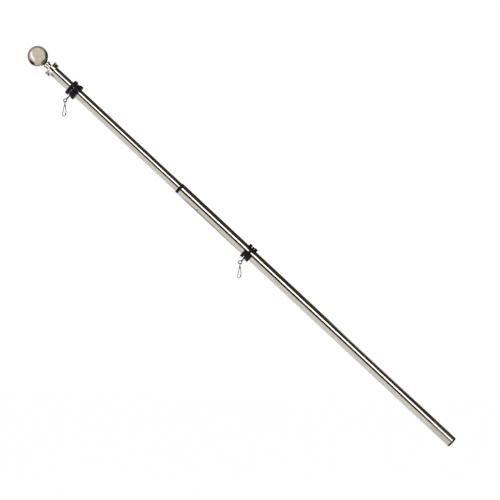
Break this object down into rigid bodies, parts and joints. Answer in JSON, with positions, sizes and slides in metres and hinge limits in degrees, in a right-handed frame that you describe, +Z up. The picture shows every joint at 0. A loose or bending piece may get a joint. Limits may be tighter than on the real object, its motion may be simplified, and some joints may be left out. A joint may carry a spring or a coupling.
{
  "type": "flagpole",
  "caption": "Telescoping house flagpole with a ball finial; spinning rings with wire snap clips keep the flag from wrapping.",
  "frame": {"origin": "centre of the flat end face of the foot plug", "axes": "+Z up; the pole leans in the XZ plane, 42.9 degrees above level, with its ball towards -X; the clips hang along -Z"},
  "size_m": [0.9647, 0.046, 0.8994],
  "materials": {
    "brushed_nickel": "steel tube and turned finial, nickel plated, brushed around",
    "black_plastic": "moulded black plastic, slightly glossy",
    "plated_wire": "bright nickel plated wire",
    "dark_sleeve": "dark crimped metal sleeve"
  },
  "bodies": {
    "lower_pole": {"lower_tube": "brushed_nickel", "foot_plug": "black_plastic", "mouth_bushing": "black_plastic", "lower_collar_bottom": "black_plastic", "lower_collar_top": "black_plastic"},
    "upper_pole": {"upper_tube": "brushed_nickel", "lock_plug": "black_plastic", "finial_cap": "brushed_nickel", "finial_neck": "brushed_nickel", "finial_ball": "brushed_nickel", "upper_collar_bottom": "black_plastic", "upper_collar_top": "black_plastic"},
    "lower_ring": {"lower_spinner": "black_plastic", "lower_eye": "plated_wire"},
    "lower_clip": {"lower_clip_hook": "plated_wire"},
    "lower_gate": {"lower_clip_gate": "plated_wire", "lower_clip_latch": "dark_sleeve"},
    "upper_ring": {"upper_spinner": "black_plastic", "upper_eye": "plated_wire"},
    "upper_clip": {"upper_clip_hook": "plated_wire"},
    "upper_gate": {"upper_clip_gate": "plated_wire", "upper_clip_latch": "dark_sleeve"}
  },
  "joints": [
    {"name": "pole_slide", "type": "slide", "parent": "lower_pole", "child": "upper_pole", "axis": [-0.7325, 0, 0.6807], "range_m": [-0.304, 0.226]},
    {"name": "lower_ring_spin", "type": "hinge", "parent": "lower_pole", "child": "lower_ring", "pos_m": [-0.45791, 0, 0.42552], "axis": [-0.7325, 0, 0.6807], "continuous": true},
    {"name": "lower_clip_swing", "type": "hinge", "parent": "lower_ring", "child": "lower_clip", "pos_m": [-0.47738, 0, 0.40457], "axis": [0, 1, 0], "range_deg": [-52, 128]},
    {"name": "lower_gate_open", "type": "hinge", "parent": "lower_clip", "child": "lower_gate", "pos_m": [-0.47731, 0, 0.39156], "axis": [0, 1, 0], "range_deg": [0, 8], "stiffness_Nm_per_rad": 0.004, "springref_deg": -14.32},
    {"name": "upper_ring_spin", "type": "hinge", "parent": "upper_pole", "child": "upper_ring", "pos_m": [-0.85085, 0, 0.79066], "axis": [-0.7325, 0, 0.6807], "continuous": true},
    {"name": "upper_clip_swing", "type": "hinge", "parent": "upper_ring", "child": "upper_clip", "pos_m": [-0.87181, 0, 0.76809], "axis": [0, 1, 0], "range_deg": [-52, 128]},
    {"name": "upper_gate_open", "type": "hinge", "parent": "upper_clip", "child": "upper_gate", "pos_m": [-0.87175, 0, 0.75509], "axis": [0, 1, 0], "range_deg": [0, 8], "stiffness_Nm_per_rad": 0.004, "springref_deg": -14.32}
  ]
}
